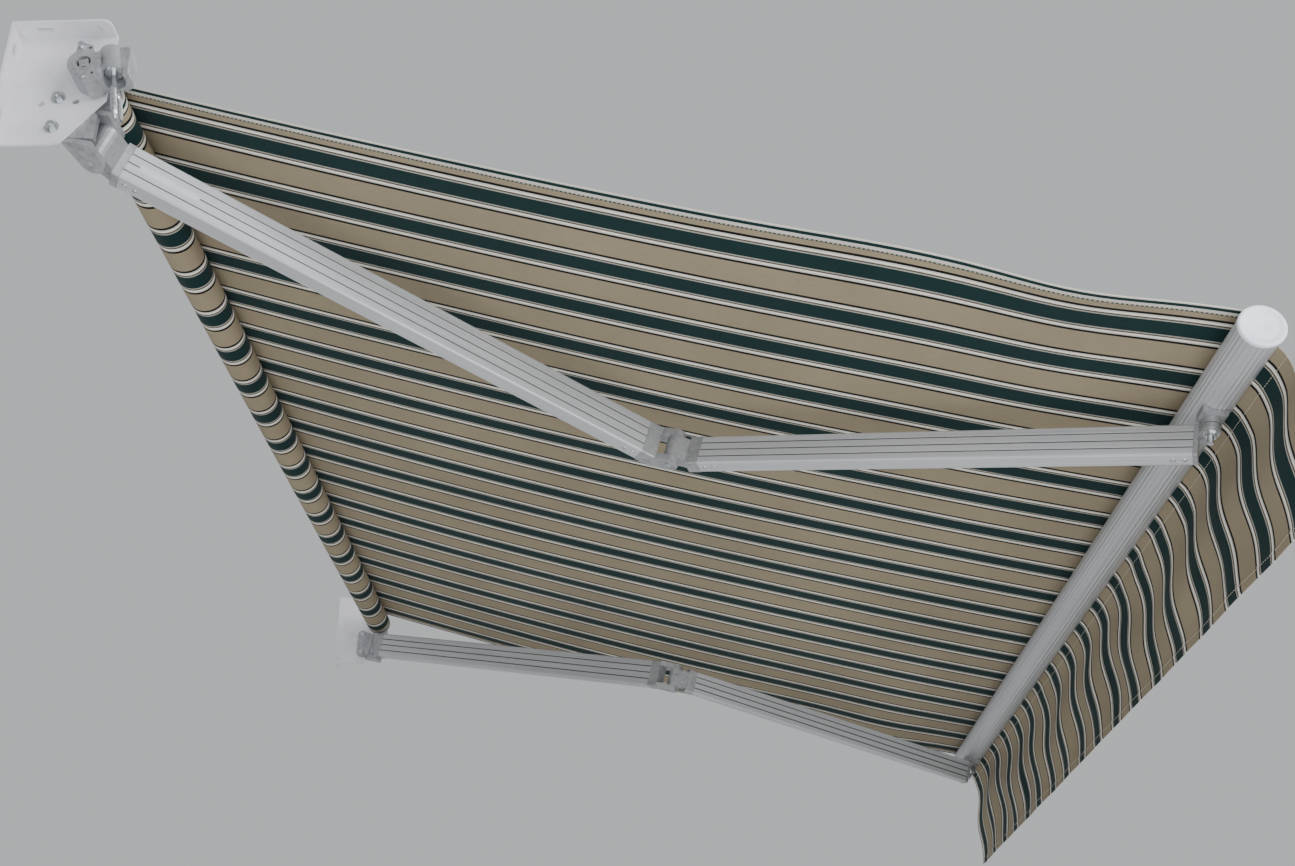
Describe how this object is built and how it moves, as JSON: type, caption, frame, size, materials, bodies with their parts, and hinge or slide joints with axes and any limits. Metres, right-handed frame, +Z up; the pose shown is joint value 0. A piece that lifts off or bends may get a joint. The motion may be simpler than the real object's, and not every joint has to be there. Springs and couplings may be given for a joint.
{
  "type": "folding-arm awning",
  "caption": "Retractable patio awning with two spring folding arms, roller, crank gearbox, front bar, striped cover and wavy valance, on two wall plates.",
  "frame": {"origin": "on the wall plane, midway between the two side plates, level with the roller axis", "axes": "+X along the roller to the right end seen from the garden, -Y out from the wall, +Z up; the gearbox is at -X"},
  "size_m": [2.5194, 1.9996, 0.9151],
  "materials": {
    "powder_coated_steel": "white powder coat",
    "cast_aluminium": "die cast, tumbled",
    "anodised_aluminium": "extruded and anodised",
    "zinc_plated_steel": "bright zinc plate",
    "galvanised_steel": "hot-dip galvanised",
    "white_plastic": "moulded",
    "awning_cloth": "woven, striped beige, green, white and black",
    "brass": "machined",
    "black_steel": "painted"
  },
  "bodies": {
    "wall_frame": {"left_side_plate": "powder_coated_steel", "left_shoulder_bracket": "cast_aluminium", "left_bracket_bolt_upper": "zinc_plated_steel", "left_bracket_bolt_lower": "zinc_plated_steel", "left_bracket_nut_upper": "zinc_plated_steel", "left_bracket_nut_lower": "zinc_plated_steel", "left_shoulder_pin": "zinc_plated_steel", "right_side_plate": "powder_coated_steel", "right_shoulder_bracket": "cast_aluminium", "right_bracket_bolt_upper": "zinc_plated_steel", "right_bracket_bolt_lower": "zinc_plated_steel", "right_bracket_nut_upper": "zinc_plated_steel", "right_bracket_nut_lower": "zinc_plated_steel", "right_shoulder_pin": "zinc_plated_steel", "gearbox_housing": "cast_aluminium", "gearbox_back_cover": "galvanised_steel", "gearbox_bolt_upper": "zinc_plated_steel", "gearbox_bolt_lower": "zinc_plated_steel", "roller_bearing_bush": "white_plastic", "awning_cover": "awning_cloth"},
    "roller": {"roller_tube": "galvanised_steel", "cloth_roll": "awning_cloth", "drive_shaft": "zinc_plated_steel", "left_roller_plug": "cast_aluminium", "right_roller_plug": "cast_aluminium", "worm_wheel": "brass"},
    "crank": {"worm": "zinc_plated_steel", "crank_eye": "zinc_plated_steel"},
    "left_upper_arm": {"left_upper_arm_tube": "anodised_aluminium", "left_shoulder_end": "cast_aluminium", "left_elbow_fork": "cast_aluminium", "left_elbow_pin": "zinc_plated_steel", "left_spring_cylinder": "black_steel", "left_spring_rod": "zinc_plated_steel"},
    "left_forearm": {"left_forearm_tube": "anodised_aluminium", "left_elbow_knuckle": "cast_aluminium", "left_forearm_front_end": "cast_aluminium"},
    "right_upper_arm": {"right_upper_arm_tube": "anodised_aluminium", "right_shoulder_end": "cast_aluminium", "right_elbow_fork": "cast_aluminium", "right_elbow_pin": "zinc_plated_steel", "right_spring_cylinder": "black_steel", "right_spring_rod": "zinc_plated_steel"},
    "right_forearm": {"right_forearm_tube": "anodised_aluminium", "right_elbow_knuckle": "cast_aluminium", "right_forearm_front_end": "cast_aluminium"},
    "front_bar": {"front_bar": "anodised_aluminium", "left_end_cap": "white_plastic", "right_end_cap": "white_plastic", "cover_rod": "white_plastic", "valance_rod": "white_plastic", "valance": "awning_cloth", "left_front_bracket": "cast_aluminium", "left_front_stud": "zinc_plated_steel", "left_front_nut": "zinc_plated_steel", "right_front_bracket": "cast_aluminium", "right_front_stud": "zinc_plated_steel", "right_front_nut": "zinc_plated_steel"}
  },
  "joints": [
    {"name": "left_shoulder", "type": "hinge", "parent": "wall_frame", "child": "left_upper_arm", "pos_m": [-1.164, -0.145, -0.088], "axis": [0.1045, -0.2574, 0.9606], "range_deg": [0, 59.5], "deforming": ["awning_cover"]},
    {"name": "left_elbow", "type": "hinge", "parent": "left_upper_arm", "child": "left_forearm", "pos_m": [-0.6478, -1.08416, -0.39581], "axis": [-0.1045, 0.2574, -0.9606], "range_deg": [0, 125.35]},
    {"name": "left_front", "type": "hinge", "parent": "left_forearm", "child": "front_bar", "pos_m": [-0.99493, -1.94185, -0.58786], "axis": [0.1045, -0.2574, 0.9606], "range_deg": [0, 65.85]},
    {"name": "right_shoulder", "type": "hinge", "parent": "wall_frame", "child": "right_upper_arm", "pos_m": [1.164, -0.145, -0.088], "axis": [0.1045, 0.2574, -0.9606], "range_deg": [0, 59.6]},
    {"name": "right_elbow", "type": "hinge", "parent": "right_upper_arm", "child": "right_forearm", "pos_m": [0.6478, -1.08416, -0.39581], "axis": [-0.1045, -0.2574, 0.9606], "range_deg": [0, 125.35]},
    {"name": "roller_spin", "type": "hinge", "parent": "wall_frame", "child": "roller", "pos_m": [0, -0.14, 0], "axis": [-1, 0, 0], "range_deg": [0, 2520]},
    {"name": "crank_turn", "type": "hinge", "parent": "wall_frame", "child": "crank", "pos_m": [-1.244, -0.182, 0.004], "axis": [0, 0.1908, 0.9816], "range_deg": [0, 27721]}
  ],
  "couplings": [
    {"joint": "left_elbow", "follows": "left_shoulder", "ratio": 2.105},
    {"joint": "left_front", "follows": "left_shoulder", "ratio": 1.105},
    {"joint": "right_shoulder", "follows": "left_shoulder", "ratio": 1},
    {"joint": "right_elbow", "follows": "left_shoulder", "ratio": 2.105},
    {"joint": "crank_turn", "follows": "roller_spin", "ratio": 11}
  ]
}
